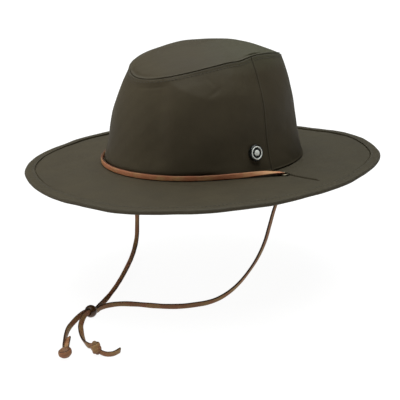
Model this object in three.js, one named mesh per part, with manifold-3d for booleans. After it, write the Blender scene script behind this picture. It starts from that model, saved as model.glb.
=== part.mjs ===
// A wide-brimmed traveller hat of waxed cotton, with one leather lace that runs round the front of
// the crown, down through an eyelet over each ear, and on as a chin strap through a slider bead.
// Millimetres, +Z up. The origin is the middle of the head opening, level with the seam between
// crown and brim. The front of the hat is -Y and the wearer's left is +X.
import * as THREE from 'three';
import { mergeVertices } from 'three/addons/utils/BufferGeometryUtils.js';
import Module from 'manifold-3d';

const wasm = await Module();
wasm.setup();

// Driving dimensions
const CLEARANCE = 0.3;

const CROWN = {
  halfLength: 104,
  halfWidth: 87,
  wall: 1.6,
  footFlare: 2.4,
  flareShare: 0.1,
  topHalfLength: 83.4,
  topHalfWidth: 56.6,
  topSetBack: 3.5,
  topHeight: 94.1,
  frontDrop: 3.4,
  sideRise: 6.6,
  leanShare: 0.54,
  shoulderPower: 3.9,
  sideSeamAngle: 88,
};

// How high on the panels the crown's rows of corners lie, as shares of the way to the seam
const PANEL_SHARES = [0, 0.03, 0.065, 0.1, 0.25, 0.42, 0.58, 0.7, 0.78, 0.86, 0.94];
const TIP_REACHES = [0.9, 0.75, 0.55, 0.3, 0.001];
const SEAM_GAP = 0.155;

// The crease on the wearer's left front runs down from the tip's seam and round to the side seam.
// The wall stands out most along it and leans in above it.
const PINCH = {
  reach: 5.4,
  frontAngle: 22,
  fullAngle: 42,
  endAngle: 66,
  backAngle: 98,
  creaseLow: 0.69,
  creaseDrop: 0.3,
  creaseTurn: 18,
  softness: 0.06,
  cornerAngle: 33,
  cornerWidth: 9.7,
  cornerReach: 2.1,
};

const TIP = { height: 111.6, peakSetBack: 4.6, roundness: 2.1 };

const BRIM = {
  halfThickness: 1.2,
  halfLength: 175.5,
  halfWidth: 157.3,
  setBack: 0.8,
  droop: 1.25,
};

// Height of the brim's edge round the head, as waves of the angle from the front
const EDGE_HEIGHT = { mean: -3.7, cos: [-3.0, -1.1, 0.2, -0.4], sin: [2.3, -0.8, 0.25] };

// Size of the edge beside a plain oval, in the same waves
const EDGE_OUTLINE = { mean: 1.005, cos: [0, 0, 0, -0.011], sin: [0, -0.0079, 0.0056] };

// The brim's section: millimetres in from the edge, and half the thickness there
const HEM_SECTION = [
  { inset: 11.6, half: 1.2 },
  { inset: 10.8, half: 0.9 },
  { inset: 9.6, half: 1.7 },
  { inset: 5.0, half: 1.8 },
  { inset: 1.6, half: 2.0 },
  { inset: 0.4, half: 1.4 },
  { inset: 0.0, half: 0.6 },
];
const FLAT_SHARES = [0, 0.3, 0.65];

const LACE = { width: 4.6, thickness: 1.8, cornerCut: 0.45 };

const BAND = {
  standOff: 1.9,
  leaveAngle: 56,
  endGap: 0.9,
  endLift: 1.4,
  bowOut: 1.2,
  bowForward: 0.6,
  steps: 64,
};

const EYELET = {
  x: 100.8,
  y: -2.5,
  bore: 3.2,
  barrel: 3.6,
  flange: 5.3,
  flangeThickness: 0.9,
  washerThickness: 0.6,
  brimHole: 3.95,
  sides: 16,
};

const BADGE = {
  angle: 79.5,
  rise: 0.19,
  radius: 7.5,
  height: 3.2,
  wellDepth: 0.6,
  groove: { inner: 5.0, outer: 6.7 },
  dotWell: 2.9,
  ringLift: 0.75,
  dotLift: 1.05,
  sides: 20,
};

const TABLE_LEVEL = -118;

const BEAD = {
  radius: 5.5,
  halfLength: 4.7,
  bore: 3.4,
  centre: new THREE.Vector3(8.4, -152.6, TABLE_LEVEL + 5.5),
  heading: new THREE.Vector3(0.22, -0.93, 0.2),
  profile: [
    { along: -1.0, out: 0.74 },
    { along: -0.7, out: 0.92 },
    { along: -0.3, out: 1.0 },
    { along: 0.3, out: 1.0 },
    { along: 0.7, out: 0.92 },
    { along: 1.0, out: 0.74 },
  ],
  sides: 16,
};

const KNOT = {
  radius: 4.9,
  flattening: [1, 0.9, 0.86],
  coil: 4.0,
  strand: 1.5,
  coilHeading: 0.6,
  lift: 5.6,
  stubSteps: 8,
};

// Routes of the two strands of the chin strap, from inside the eyelet to the knot. The width
// is the direction across the flat lace.
const LEFT_STRAND = [
  { at: [100.8, -2.5, 5.6], width: [1, 0, 0] },
  { at: [100.8, -2.5, 2.8], width: [1, 0, 0] },
  { at: [100.8, -2.5, 0], width: [1, 0, 0] },
  { at: [100.6, -3, -7], width: [0.93, -0.36, 0] },
  { at: [99, -5.6, -18], width: [0.8, -0.6, 0] },
  { at: [96.6, -9.4, -31], width: [0.66, -0.75, 0] },
  { at: [94.4, -12.6, -46], width: [0.5, -0.87, 0] },
  { at: [92.2, -16, -61], width: [0.36, -0.93, 0] },
  { at: [88.6, -21.4, -76], width: [0.28, -0.95, 0.1] },
  { at: [84.2, -28.2, -88.6], width: [0.24, -0.93, 0.25] },
  { at: [79.4, -35.4, -99.2], width: [0.2, -0.85, 0.5] },
  { at: [74, -43.2, -107.6], width: [0.15, -0.65, 0.75] },
  { at: [68.6, -52.2, -113.2], width: [0.1, -0.4, 0.9] },
  { at: [64, -61.4, -115.5], width: [0.05, -0.15, 1] },
  { at: [59.4, -72.4, -115.6], width: [0, 0, 1] },
  { at: [53, -83.6, -115.6], width: [0, 0, 1] },
  { at: [43.8, -93.4, -115.6], width: [0, 0, 1] },
  { at: [32.6, -101.6, -115.6], width: [0, 0, 1] },
  { at: [20, -109.6, -115.6], width: [0, 0, 1] },
  { at: [9, -119.2, -115.6], width: [0, 0, 1] },
  { at: [4, -129, -115.5], width: [0, 0, 1] },
  { at: [4.4, -138.4, -114.9], width: [0, 0, 1] },
  { at: [7.7, -144.7, -114.1], width: [0, 0, 1] },
  { at: [8.6, -148.5, -113.3], width: [0, 0, 1] },
  { at: [9.5, -152.3, -112.5], width: [0, 0, 1] },
  { at: [10.4, -156.2, -111.7], width: [0, 0, 1] },
  { at: [11.1, -159.2, -111.3], width: [-0.1, -0.1, 1] },
  { at: [13.2, -164.6, -112.9], width: [-0.4, -0.3, 0.85] },
  { at: [18.6, -172, -115.6], width: [-0.66, -0.5, 0.5] },
  { at: [28.6, -179.8, -115.8], width: [-0.6, -0.65, 0.45] },
  { at: [38.6, -186.4, -115.6], width: [-0.45, -0.6, 0.65] },
  { at: [48.4, -191.6, -115.6], width: [-0.25, -0.4, 0.88] },
  { at: [57.2, -194.4, -114.6], width: [0, 0, 1] },
  { at: [63.55, -195.1, -112.9], width: [0, 0.1, 1] },
];

const RIGHT_STRAND = [
  { at: [-100.8, -2.5, 5.6], width: [1, 0, 0] },
  { at: [-100.8, -2.5, 2.8], width: [1, 0, 0] },
  { at: [-100.8, -2.5, 0], width: [1, 0, 0] },
  { at: [-100.4, -2.6, -9], width: [0.93, 0.36, 0] },
  { at: [-98.2, -3, -28], width: [0.8, 0.6, 0] },
  { at: [-95.6, -4.2, -50], width: [0.79, 0.61, 0] },
  { at: [-93, -5.6, -70], width: [0.79, 0.61, 0] },
  { at: [-90.8, -7.8, -87], width: [0.79, 0.61, 0] },
  { at: [-87, -12.2, -101], width: [0.79, 0.61, -0.1] },
  { at: [-81.8, -20.2, -110.4], width: [0.77, 0.6, -0.2] },
  { at: [-73.4, -31.8, -115], width: [0.74, 0.58, -0.33] },
  { at: [-61.6, -46.8, -116], width: [0.73, 0.55, -0.4] },
  { at: [-47.6, -64.6, -116], width: [0.72, 0.5, -0.47] },
  { at: [-34.2, -82.2, -115.8], width: [0.7, 0.45, -0.55] },
  { at: [-22.6, -98.6, -115.7], width: [0.68, 0.4, -0.61] },
  { at: [-13.8, -112.2, -115.6], width: [0.6, 0.34, -0.72] },
  { at: [-6.6, -123.8, -115.4], width: [0.4, 0.2, -0.9] },
  { at: [-0.6, -134.6, -115], width: [0.15, 0.1, -1] },
  { at: [5.5, -145.2, -114.1], width: [0, 0, -1] },
  { at: [6.4, -149, -113.3], width: [0, 0, -1] },
  { at: [7.3, -152.9, -112.5], width: [0, 0, -1] },
  { at: [8.2, -156.7, -111.7], width: [0, 0, -1] },
  { at: [8.6, -159.8, -111.4], width: [0.1, 0.05, -1] },
  { at: [7.8, -164.4, -113.2], width: [0.4, 0.2, -0.9] },
  { at: [10.6, -174.2, -115.6], width: [0.6, 0.3, -0.74] },
  { at: [17.6, -184.8, -115.6], width: [0.6, 0.35, -0.7] },
  { at: [26.4, -194.2, -115.6], width: [0.5, 0.4, -0.77] },
  { at: [35.8, -203, -115.6], width: [0.3, 0.25, -0.92] },
  { at: [44.6, -210.6, -114.8], width: [0.15, 0.15, -0.98] },
  { at: [52.25, -215.7, -113.1], width: [0, 0, -1] },
];
const STRAND_STEPS = 40;

const LEFT_KNOT = {
  centre: new THREE.Vector3(68.6, -195.8, TABLE_LEVEL + KNOT.lift),
  coilTilt: 1.2,
  stub: [
    { at: [68.6, -195.8, -112.6], width: [0, 0, 1] },
    { at: [73.2, -194.8, -114.8], width: [0, 0, 1] },
    { at: [78.2, -193.0, -115.6], width: [0, 0, 1] },
    { at: [81.0, -189.2, -115.6], width: [0, 0, 1] },
    { at: [80.9, -184.6, -115.6], width: [0, 0, 1] },
    { at: [80.2, -181.2, -115.6], width: [0, 0, 1] },
  ],
};

const RIGHT_KNOT = {
  centre: new THREE.Vector3(56.3, -218.6, TABLE_LEVEL + KNOT.lift),
  coilTilt: 0.5,
  stub: [
    { at: [56.3, -218.6, -112.6], width: [0, 0, 1] },
    { at: [52.6, -212.4, -112.4], width: [0, 0, 1] },
    { at: [43.8, -205.0, -113.4], width: [0, 0, 1] },
    { at: [35.4, -197.8, -114.6], width: [0, 0, 1] },
  ],
};

// Materials
const MATERIALS = {
  cotton: { color: 0x45423a, roughness: 0.8, metalness: 0 },
  leather: { color: 0x6b4427, roughness: 0.6, metalness: 0 },
  eyelet: { color: 0x3a3528, roughness: 0.4, metalness: 1 },
  black: { color: 0x0b0c0b, roughness: 0.3, metalness: 0 },
  silver: { color: 0xd3d6cf, roughness: 0.35, metalness: 0.6 },
  bead: { color: 0x2e1a0e, roughness: 0.25, metalness: 0 },
};

// Helpers for angles, round the head from the front towards the wearer's left
const radians = THREE.MathUtils.degToRad;
const smooth = THREE.MathUtils.smoothstep;
const between = THREE.MathUtils.lerp;

function waves(angle, { mean, cos, sin }) {
  const cosines = cos.reduce((sum, size, i) => sum + size * Math.cos((i + 1) * angle), 0);
  const sines = sin.reduce((sum, size, i) => sum + size * Math.sin((i + 1) * angle), 0);
  return mean + cosines + sines;
}

function stepped(from, to, count) {
  return Array.from({ length: count + 1 }, (_, i) => from + (to - from) * i / count);
}

// Faces of a surface given as a function of two numbers
function surfaceNormal(surface, u, v) {
  const step = 1e-3;
  const alongU = surface(u + step, v).sub(surface(u - step, v));
  const alongV = surface(u, v + step).sub(surface(u, v - step));
  return alongU.cross(alongV).normalize();
}

function topHeight(angle) {
  return CROWN.topHeight - CROWN.frontDrop * Math.cos(angle) - CROWN.sideRise * Math.cos(2 * angle);
}

// How far the crease and the corner in front of it stand out from the plain wall
function pinchReach(angle, rise) {
  const turned = (radians(PINCH.frontAngle) - angle) / radians(PINCH.creaseTurn);
  const crease = PINCH.creaseLow + PINCH.creaseDrop * Math.exp(Math.min(0.2, turned));
  const below = rise / crease;
  const above = (1 - rise) / Math.max(0.04, 1 - crease);
  const slope = (below + above - Math.hypot(below - above, PINCH.softness)) / 2;
  const across = smooth(angle, radians(PINCH.frontAngle), radians(PINCH.fullAngle))
    * (1 - smooth(angle, radians(PINCH.endAngle), radians(PINCH.backAngle)));
  const off = (angle - radians(PINCH.cornerAngle)) / radians(PINCH.cornerWidth);
  const corner = Math.exp(-off * off) * Math.sin(Math.PI * rise);
  return PINCH.reach * across * slope + PINCH.cornerReach * corner;
}

// Outside of the crown's wall: rise is 0 at the foot and 1 at the seam round the tip
function crownSurface(angle, rise) {
  const flare = CROWN.footFlare * Math.max(0, 1 - rise / CROWN.flareShare) ** 2;
  const push = flare + pinchReach(angle, rise);
  const shoulder = Math.max(0, rise) ** CROWN.shoulderPower;
  const lean = between(shoulder, rise, CROWN.leanShare);
  const halfWidth = between(CROWN.halfWidth - CROWN.footFlare, CROWN.topHalfWidth, lean);
  const halfLength = between(CROWN.halfLength - CROWN.footFlare, CROWN.topHalfLength, lean);
  const x = (halfWidth + push) * Math.sin(angle);
  const y = CROWN.topSetBack * lean - (halfLength + push) * Math.cos(angle);
  return new THREE.Vector3(x, y, topHeight(angle) * rise);
}

// Outside of the tip: reach is 0 at the peak and 1 at the seam
function tipSurface(angle, reach) {
  const x = CROWN.topHalfWidth * Math.sin(angle) * reach;
  const rimY = CROWN.topSetBack - CROWN.topHalfLength * Math.cos(angle);
  const y = between(TIP.peakSetBack, rimY, reach);
  const fall = (TIP.height - topHeight(angle)) * Math.max(0, reach) ** TIP.roundness;
  return new THREE.Vector3(x, y, TIP.height - fall);
}

// Middle of the brim's thickness: share is 0 at the head opening and 1 at the edge
function brimSurface(angle, share) {
  const outline = waves(angle, EDGE_OUTLINE);
  const inner = new THREE.Vector2(
    (CROWN.halfWidth - CROWN.footFlare) * Math.sin(angle),
    -(CROWN.halfLength - CROWN.footFlare) * Math.cos(angle));
  const outer = new THREE.Vector2(
    BRIM.halfWidth * outline * Math.sin(angle),
    BRIM.setBack - BRIM.halfLength * outline * Math.cos(angle));
  const flat = inner.lerp(outer, share);
  const height = waves(angle, EDGE_HEIGHT) * Math.max(0, share) ** BRIM.droop;
  return new THREE.Vector3(flat.x, flat.y, height);
}

// A closed body from a list of triangles, each three points, with its faces turned outwards
function bodyFromTriangles(triangles) {
  const whole = triangles.filter(([a, b, c]) => {
    return a.distanceTo(b) > 1e-5 && b.distanceTo(c) > 1e-5 && c.distanceTo(a) > 1e-5;
  });
  const volume = whole.reduce((sum, [a, b, c]) => sum + a.dot(b.clone().cross(c)), 0);
  const ordered = volume > 0 ? whole : whole.map(([a, b, c]) => [a, c, b]);
  const numbers = ordered.flatMap((corners) => corners.flatMap((point) => point.toArray()));
  const geometry = new THREE.BufferGeometry();
  geometry.setAttribute('position', new THREE.Float32BufferAttribute(numbers, 3));
  return mergeVertices(geometry, 1e-4);
}

function quad(a, b, c, d) {
  return [[a, b, c], [a, c, d]];
}

// A cloth wall between an outer and an inner grid of points. Each grid is a list of rows. The
// rows follow one another round the head, and meet again where the wall goes all the way round.
function wallBody(outer, inner, goesRound) {
  const triangles = [];
  const rows = outer.length;
  const last = outer[0].length - 1;
  for (let i = 0; i < (goesRound ? rows : rows - 1); i++) {
    const next = (i + 1) % rows;
    for (let j = 0; j < last; j++) {
      triangles.push(...quad(outer[i][j], outer[next][j], outer[next][j + 1], outer[i][j + 1]));
      triangles.push(...quad(inner[i][j], inner[i][j + 1], inner[next][j + 1], inner[next][j]));
    }
    triangles.push(...quad(outer[i][0], inner[i][0], inner[next][0], outer[next][0]));
    triangles.push(...quad(outer[i][last], outer[next][last], inner[next][last], inner[i][last]));
  }
  if (!goesRound) {
    for (let j = 0; j < last; j++) {
      triangles.push(...quad(outer[0][j], outer[0][j + 1], inner[0][j + 1], inner[0][j]));
      const end = rows - 1;
      triangles.push(...quad(outer[end][j], inner[end][j], inner[end][j + 1], outer[end][j + 1]));
    }
  }
  return bodyFromTriangles(triangles);
}

// Booleans
function toManifold(geometry) {
  const bare = geometry.clone();
  bare.deleteAttribute('normal');
  bare.deleteAttribute('uv');
  const merged = mergeVertices(bare, 1e-4);
  const vertProperties = new Float32Array(merged.attributes.position.array);
  const triVerts = new Uint32Array(merged.index.array);
  return new wasm.Manifold(new wasm.Mesh({ numProp: 3, vertProperties, triVerts }));
}

function fromManifold(manifold) {
  const { vertProperties, triVerts } = manifold.getMesh();
  const geometry = new THREE.BufferGeometry();
  geometry.setAttribute('position', new THREE.BufferAttribute(vertProperties, 3));
  geometry.setIndex(new THREE.BufferAttribute(triVerts, 1));
  return geometry;
}

function joined(first, ...others) {
  const whole = others.reduce((sum, other) => sum.add(toManifold(other)), toManifold(first));
  return fromManifold(whole);
}

function cutBy(body, ...tools) {
  const rest = tools.reduce((left, tool) => left.subtract(toManifold(tool)), toManifold(body));
  return fromManifold(rest);
}

// A round piece about the Z axis, from the radius and height of each corner of its closed section
function turned(section, sides) {
  const corners = section.map(([radius, height]) => new THREE.Vector2(radius, height));
  const geometry = new THREE.LatheGeometry([...corners, corners[0]], sides);
  geometry.rotateX(Math.PI / 2);
  const places = geometry.toNonIndexed().attributes.position;
  const triangles = [];
  for (let i = 0; i < places.count; i += 3) {
    triangles.push([0, 1, 2].map((k) => new THREE.Vector3().fromBufferAttribute(places, i + k)));
  }
  return bodyFromTriangles(triangles);
}

// A curve that also carries the direction across a flat lace
class LaceCurve extends THREE.CatmullRomCurve3 {
  constructor(route) {
    super(route.map((row) => new THREE.Vector3(...row.at)));
    const widths = route.map((row) => new THREE.Vector3(...row.width).normalize());
    this.widths = new THREE.CatmullRomCurve3(widths);
  }

  computeFrenetFrames(steps) {
    const frames = { tangents: [], normals: [], binormals: [] };
    for (const share of stepped(0, 1, steps)) {
      const place = this.getUtoTmapping(share);
      const tangent = this.getTangent(place);
      const width = this.widths.getPoint(place);
      width.addScaledVector(tangent, -width.dot(tangent)).normalize();
      frames.tangents.push(tangent);
      frames.normals.push(width);
      frames.binormals.push(new THREE.Vector3().crossVectors(tangent, width));
    }
    return frames;
  }
}

function laceSection() {
  const x = LACE.width / 2;
  const y = LACE.thickness / 2;
  const cut = LACE.cornerCut;
  const corners = [
    [x, -y + cut],
    [x, y - cut],
    [x - cut, y],
    [-x + cut, y],
    [-x, y - cut],
    [-x, -y + cut],
    [-x + cut, -y],
    [x - cut, -y],
  ];
  return new THREE.Shape(corners.map((corner) => new THREE.Vector2(...corner)));
}

function laceBody(route, steps) {
  const extrudePath = new LaceCurve(route);
  const geometry = new THREE.ExtrudeGeometry(laceSection(), { steps, extrudePath });
  geometry.deleteAttribute('normal');
  geometry.deleteAttribute('uv');
  return mergeVertices(geometry, 1e-4);
}

// Crown: two side panels and the tip, with mitred edges where they are seamed together
function topCorner(angle) {
  const point = crownSurface(angle, 1);
  const wallNormal = surfaceNormal(crownSurface, angle, 1 - 2e-3);
  const tipNormal = surfaceNormal(tipSurface, angle, 1).negate();
  const mitre = CROWN.wall / (1 + wallNormal.dot(tipNormal));
  const inner = point.clone().addScaledVector(wallNormal.add(tipNormal), -mitre);
  return { point, inner };
}

function crownPanel(angles) {
  const footHeight = BRIM.halfThickness + CLEARANCE;
  const outer = [];
  const inner = [];
  for (const angle of angles) {
    const footRise = footHeight / topHeight(angle);
    const rises = PANEL_SHARES.map((share) => between(footRise, 1, share));
    const outerRow = rises.map((rise) => crownSurface(angle, rise));
    const innerRow = rises.map((rise, j) => {
      const normal = surfaceNormal(crownSurface, angle, rise);
      if (j === 0) normal.setZ(0).normalize();
      return outerRow[j].clone().addScaledVector(normal, -CROWN.wall);
    });
    const corner = topCorner(angle);
    const down = crownSurface(angle, 0.995).sub(corner.point).setLength(SEAM_GAP);
    outer.push([...outerRow, corner.point.clone().add(down)]);
    inner.push([...innerRow, corner.inner.clone().add(down)]);
  }
  return wallBody(outer, inner, false);
}

const PANEL_STEPS = 24;
const seamAngle = radians(CROWN.sideSeamAngle);
const halfSeamGap = CLEARANCE / 2 / CROWN.topHalfLength;
const frontAngles = stepped(-seamAngle, seamAngle, PANEL_STEPS);
const backAngles = stepped(seamAngle, 2 * Math.PI - seamAngle, PANEL_STEPS);

function insideSeams(angles) {
  const inside = [...angles];
  inside[0] += halfSeamGap;
  inside[inside.length - 1] -= halfSeamGap;
  return inside;
}

function tipBody() {
  const outer = [];
  const inner = [];
  for (const angle of [...frontAngles, ...backAngles.slice(1, -1)]) {
    const corner = topCorner(angle);
    const into = tipSurface(angle, 0.99).sub(corner.point).setLength(SEAM_GAP);
    const outerRow = TIP_REACHES.map((reach) => tipSurface(angle, reach));
    const innerRow = TIP_REACHES.map((reach, j) => {
      const normal = surfaceNormal(tipSurface, angle, reach).negate();
      return outerRow[j].clone().addScaledVector(normal, -CROWN.wall);
    });
    const peak = new THREE.Vector3(0, TIP.peakSetBack, TIP.height);
    outerRow[TIP_REACHES.length - 1] = peak;
    innerRow[TIP_REACHES.length - 1] = peak.clone().setZ(TIP.height - CROWN.wall);
    outer.push([corner.point.clone().add(into), ...outerRow]);
    inner.push([corner.inner.clone().add(into), ...innerRow]);
  }
  return wallBody(outer, inner, true);
}

// Brim: a flat cloth ring with a rounded hem tunnel at its edge and a hole for each eyelet
const BRIM_STEPS = 80;

function brimBody() {
  const top = [];
  const bottom = [];
  for (const angle of stepped(0, 2 * Math.PI, BRIM_STEPS).slice(0, -1)) {
    const depth = brimSurface(angle, 1).distanceTo(brimSurface(angle, 0));
    const flat = FLAT_SHARES.map((share) => ({ share, half: BRIM.halfThickness }));
    const hem = HEM_SECTION.map(({ inset, half }) => ({ share: 1 - inset / depth, half }));
    const rows = [...flat, ...hem];
    const lifted = (side) => rows.map(({ share, half }) => {
      const middle = brimSurface(angle, share);
      return middle.setZ(middle.z + side * half);
    });
    top.push(lifted(1));
    bottom.push(lifted(-1));
  }
  const ring = wallBody(top, bottom, true);
  const holes = [1, -1].map((side) => {
    const drill = new THREE.CylinderGeometry(EYELET.brimHole, EYELET.brimHole, 12, 16);
    return drill.rotateX(Math.PI / 2).translate(side * EYELET.x, EYELET.y, 0);
  });
  return cutBy(ring, ...holes);
}

// The brim's middle under a point, found on the line out from the head opening
function brimUnder(x, y) {
  const angle = Math.atan2(x / BRIM.halfWidth, -y / BRIM.halfLength);
  const inner = brimSurface(angle, 0);
  const share = Math.hypot(x - inner.x, y - inner.y) / brimSurface(angle, 1).distanceTo(inner);
  const normal = surfaceNormal(brimSurface, angle, share);
  return { height: brimSurface(angle, share).z, normal: normal.z > 0 ? normal : normal.negate() };
}

// Hat band: the lace stands on its edge round the front of the crown's foot, then leaves the
// crown in a straight line to the strand that comes up through each eyelet
function bandRoute() {
  const standing = BRIM.halfThickness + CLEARANCE + LACE.width / 2;
  const offset = BAND.standOff;
  const leave = radians(BAND.leaveAngle);
  const curved = stepped(-leave, leave, 16).map((angle) => [
    (CROWN.halfWidth + offset) * Math.sin(angle),
    -(CROWN.halfLength + offset) * Math.cos(angle),
  ]);
  const [lastX, lastY] = curved.at(-1);
  const endX = EYELET.x;
  const endY = EYELET.y - LACE.thickness / 2 - BAND.endGap;
  const middleX = (lastX + endX) / 2 + BAND.bowOut;
  const middleY = (lastY + endY) / 2 - BAND.bowForward;
  const plan = [[-endX, endY], [-middleX, middleY], ...curved, [middleX, middleY], [endX, endY]];
  return plan.map(([x, y]) => {
    const lift = Math.abs(x) === endX ? BAND.endLift : 0;
    return { at: [x, y, brimUnder(x, y).height + standing + lift], width: [0, 0, 1] };
  });
}

// Eyelet: a flanged tube set through the brim, in metal
function eyeletBody() {
  const { bore, barrel, flange, flangeThickness, washerThickness, sides } = EYELET;
  const seat = BRIM.halfThickness + CLEARANCE;
  const top = seat + flangeThickness;
  const bottom = -seat - washerThickness;
  const section = [
    [bore, bottom],
    [flange - 0.4, bottom],
    [flange - 0.3, -seat],
    [barrel, -seat],
    [barrel, seat],
    [flange, seat],
    [flange - 0.2, top - 0.4],
    [flange - 1.1, top],
    [bore + 0.3, top - 0.3],
    [bore, seat],
  ];
  return turned(section, sides);
}

// Badge: a black cap with a pale ring and a pale dot let into its face
function badgeBase() {
  const { radius, height, groove, dotWell, sides } = BADGE;
  const floor = height - BADGE.wellDepth;
  const face = height - 0.2;
  const section = [
    [0, 0],
    [radius - 0.1, 0],
    [radius, 0.8],
    [radius - 0.2, height - 0.4],
    [radius - 0.6, height],
    [groove.outer, height],
    [groove.outer, floor],
    [groove.inner, floor],
    [groove.inner, face],
    [dotWell, face],
    [dotWell, floor],
    [0, floor],
  ];
  return turned(section, sides);
}

function badgeRing() {
  const inner = BADGE.groove.inner + CLEARANCE;
  const outer = BADGE.groove.outer - CLEARANCE;
  const floor = BADGE.height - BADGE.wellDepth + CLEARANCE;
  const shoulder = floor + BADGE.ringLift - 0.25;
  const crest = floor + BADGE.ringLift;
  const section = [
    [inner, floor],
    [outer, floor],
    [outer, shoulder],
    [(inner + outer) / 2, crest],
    [inner, shoulder],
  ];
  return turned(section, BADGE.sides);
}

function badgeDot() {
  const radius = BADGE.dotWell - CLEARANCE;
  const floor = BADGE.height - BADGE.wellDepth + CLEARANCE;
  const crest = floor + BADGE.dotLift;
  const section = [
    [0, floor],
    [radius, floor],
    [radius - 0.1, crest - 0.55],
    [radius - 1.1, crest - 0.15],
    [0, crest],
  ];
  return turned(section, BADGE.sides);
}

// Slider bead: a round bead drilled for the two strands
function beadBody() {
  const { radius, halfLength, bore, sides } = BEAD;
  const profile = BEAD.profile.map(({ out, along }) => [radius * out, halfLength * along]);
  return turned([[bore, -halfLength], ...profile, [bore, halfLength]], sides);
}

// Knot: a tight round lump with a turn of lace proud of it, and the free end beyond
function knotBody({ centre, coilTilt, stub }) {
  const lump = new THREE.SphereGeometry(KNOT.radius, 12, 8).scale(...KNOT.flattening);
  const turn = new THREE.TorusGeometry(KNOT.coil, KNOT.strand, 6, 14);
  turn.rotateX(coilTilt).rotateZ(KNOT.coilHeading);
  lump.translate(...centre);
  turn.translate(...centre);
  return joined(lump, turn, laceBody(stub, KNOT.stubSteps));
}

// The assembly
const hat = new THREE.Group();

function add(name, geometry, look) {
  const mesh = new THREE.Mesh(geometry, new THREE.MeshStandardMaterial(MATERIALS[look]));
  mesh.name = name;
  hat.add(mesh);
  return mesh;
}

add('crown_tip', tipBody(), 'cotton');
add('crown_front', crownPanel(insideSeams(frontAngles)), 'cotton');
add('crown_back', crownPanel(insideSeams(backAngles)), 'cotton');
add('brim', brimBody(), 'cotton');
add('hat_band', laceBody(bandRoute(), BAND.steps), 'leather');

for (const [side, name] of [[1, 'eyelet_left'], [-1, 'eyelet_right']]) {
  const { height, normal } = brimUnder(side * EYELET.x, EYELET.y);
  const eyelet = add(name, eyeletBody(), 'eyelet');
  eyelet.position.set(side * EYELET.x, EYELET.y, height);
  eyelet.quaternion.setFromUnitVectors(new THREE.Vector3(0, 0, 1), normal);
}

const badgeAngle = radians(BADGE.angle);
const badgeNormal = surfaceNormal(crownSurface, badgeAngle, BADGE.rise);
const badgeSeat = crownSurface(badgeAngle, BADGE.rise).addScaledVector(badgeNormal, CLEARANCE);
for (const [name, geometry, look] of [
  ['badge_base', badgeBase(), 'black'],
  ['badge_ring', badgeRing(), 'silver'],
  ['badge_dot', badgeDot(), 'silver'],
]) {
  const piece = add(name, geometry, look);
  piece.position.copy(badgeSeat);
  piece.quaternion.setFromUnitVectors(new THREE.Vector3(0, 0, 1), badgeNormal);
}

add('chin_cord_left', laceBody(LEFT_STRAND, STRAND_STEPS), 'leather');
add('chin_cord_right', laceBody(RIGHT_STRAND, STRAND_STEPS), 'leather');

const bead = add('slider_bead', beadBody(), 'bead');
bead.position.copy(BEAD.centre);
bead.quaternion.setFromUnitVectors(new THREE.Vector3(0, 0, 1), BEAD.heading.clone().normalize());

add('knot_left', knotBody(LEFT_KNOT), 'leather');
add('knot_right', knotBody(RIGHT_KNOT), 'leather');

export default hat;
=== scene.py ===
"""A wide-brimmed traveller hat of waxed cotton with a leather lace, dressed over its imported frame.

Lengths are in metres, written as millimetres times MM. The front of the hat is -Y, the wearer's
left is +X, and an angle round the head runs from the front towards the wearer's left.
"""
import math

import bmesh
import bpy
import numpy as np
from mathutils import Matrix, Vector


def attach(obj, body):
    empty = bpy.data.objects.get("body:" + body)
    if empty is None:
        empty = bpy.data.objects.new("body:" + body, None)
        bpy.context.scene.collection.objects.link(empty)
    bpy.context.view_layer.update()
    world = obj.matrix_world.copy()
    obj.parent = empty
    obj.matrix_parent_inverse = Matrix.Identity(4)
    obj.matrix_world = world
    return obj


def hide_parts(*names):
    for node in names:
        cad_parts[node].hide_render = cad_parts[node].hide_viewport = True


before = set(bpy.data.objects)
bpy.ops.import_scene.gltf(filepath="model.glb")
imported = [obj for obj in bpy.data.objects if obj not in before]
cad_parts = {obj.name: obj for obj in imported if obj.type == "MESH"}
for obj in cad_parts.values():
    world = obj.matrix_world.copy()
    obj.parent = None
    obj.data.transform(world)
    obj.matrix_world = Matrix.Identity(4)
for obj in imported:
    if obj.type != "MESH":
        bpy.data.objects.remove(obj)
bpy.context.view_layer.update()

MM = 0.001
TABLE = -118 * MM

# Camera, at the photograph's angle
CAMERA_PLACE = (0.5945, -0.6161, 0.2139)
CAMERA_TARGET = (-0.0067, 0.0010, -0.0464)
CAMERA_LENS = 81.96
CAMERA_SENSOR = 36.0

# The way to the side of the hat that the photograph shows, and the level way across that side
SHOWN_SIDE = (0.668, -0.686, 0.289)
ACROSS_SIDE = (0.716, 0.698)


def look_at(thing, place, target):
    thing.location = place
    thing.rotation_mode = "QUATERNION"
    thing.rotation_quaternion = (Vector(target) - Vector(place)).to_track_quat("-Z", "Y")


def make_camera():
    camera = bpy.data.objects.new("camera", bpy.data.cameras.new("camera"))
    camera.data.lens = CAMERA_LENS
    camera.data.sensor_width = CAMERA_SENSOR
    camera.data.clip_start = 0.01
    bpy.context.scene.collection.objects.link(camera)
    look_at(camera, CAMERA_PLACE, CAMERA_TARGET)
    bpy.context.scene.camera = camera


make_camera()


# Meshes

def put(obj, replaced=()):
    """Links a piece of the hat, with the nodes that it stands for."""
    if obj.name not in bpy.context.scene.collection.objects:
        bpy.context.scene.collection.objects.link(obj)
    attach(obj, "root")
    if replaced:
        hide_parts(*replaced)
    return obj


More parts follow.
